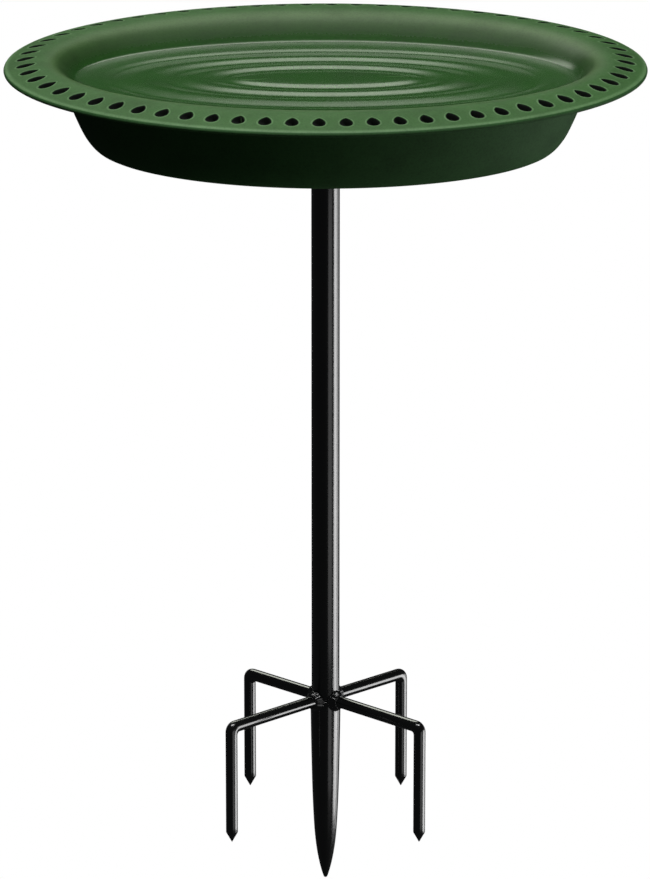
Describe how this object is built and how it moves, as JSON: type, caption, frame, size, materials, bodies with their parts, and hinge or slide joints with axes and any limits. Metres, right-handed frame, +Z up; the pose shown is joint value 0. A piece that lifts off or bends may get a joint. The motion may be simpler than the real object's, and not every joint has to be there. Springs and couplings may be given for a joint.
{
  "type": "bird feeder on pole",
  "caption": "Oval moulded dish with a ring of slots through its rim, on a steel tube that plugs onto a ground stake with bent prongs.",
  "frame": {"origin": "tip of the stake, under the middle of the dish", "axes": "+Z up along the pole, +X along the dish's longer direction, -Y towards the front"},
  "size_m": [0.3578, 0.28, 0.491],
  "materials": {
    "dish_plastic": "satin, faintly grained",
    "black_paint": "gloss",
    "black_plastic": "matte",
    "zinc": "zinc plated"
  },
  "bodies": {
    "stake": {"spike": "black_paint", "prong_front_left": "black_paint", "prong_front_right": "black_paint", "prong_back_left": "black_paint", "prong_back_right": "black_paint", "weld_front_left": "black_paint", "weld_front_right": "black_paint", "weld_back_left": "black_paint", "weld_back_right": "black_paint"},
    "pole": {"pole_tube": "black_paint", "pole_top_plug": "black_plastic"},
    "tray": {"dish": "dish_plastic", "socket_flange": "black_paint", "flange_screw_front_left": "zinc", "flange_screw_front_right": "zinc", "flange_screw_back_left": "zinc", "flange_screw_back_right": "zinc"},
    "clamp": {"clamp_screw": "zinc", "clamp_knob": "black_plastic"}
  },
  "joints": [
    {"name": "pole_pull", "type": "slide", "parent": "stake", "child": "pole", "axis": [0, 0, 1], "range_m": [0, 0.048]},
    {"name": "dish_turn", "type": "hinge", "parent": "pole", "child": "tray", "pos_m": [0, 0, 0.45], "axis": [0, 0, 1], "continuous": true},
    {"name": "clamp_out", "type": "slide", "parent": "tray", "child": "clamp", "axis": [1, 0, 0], "range_m": [0, 0.006]}
  ]
}
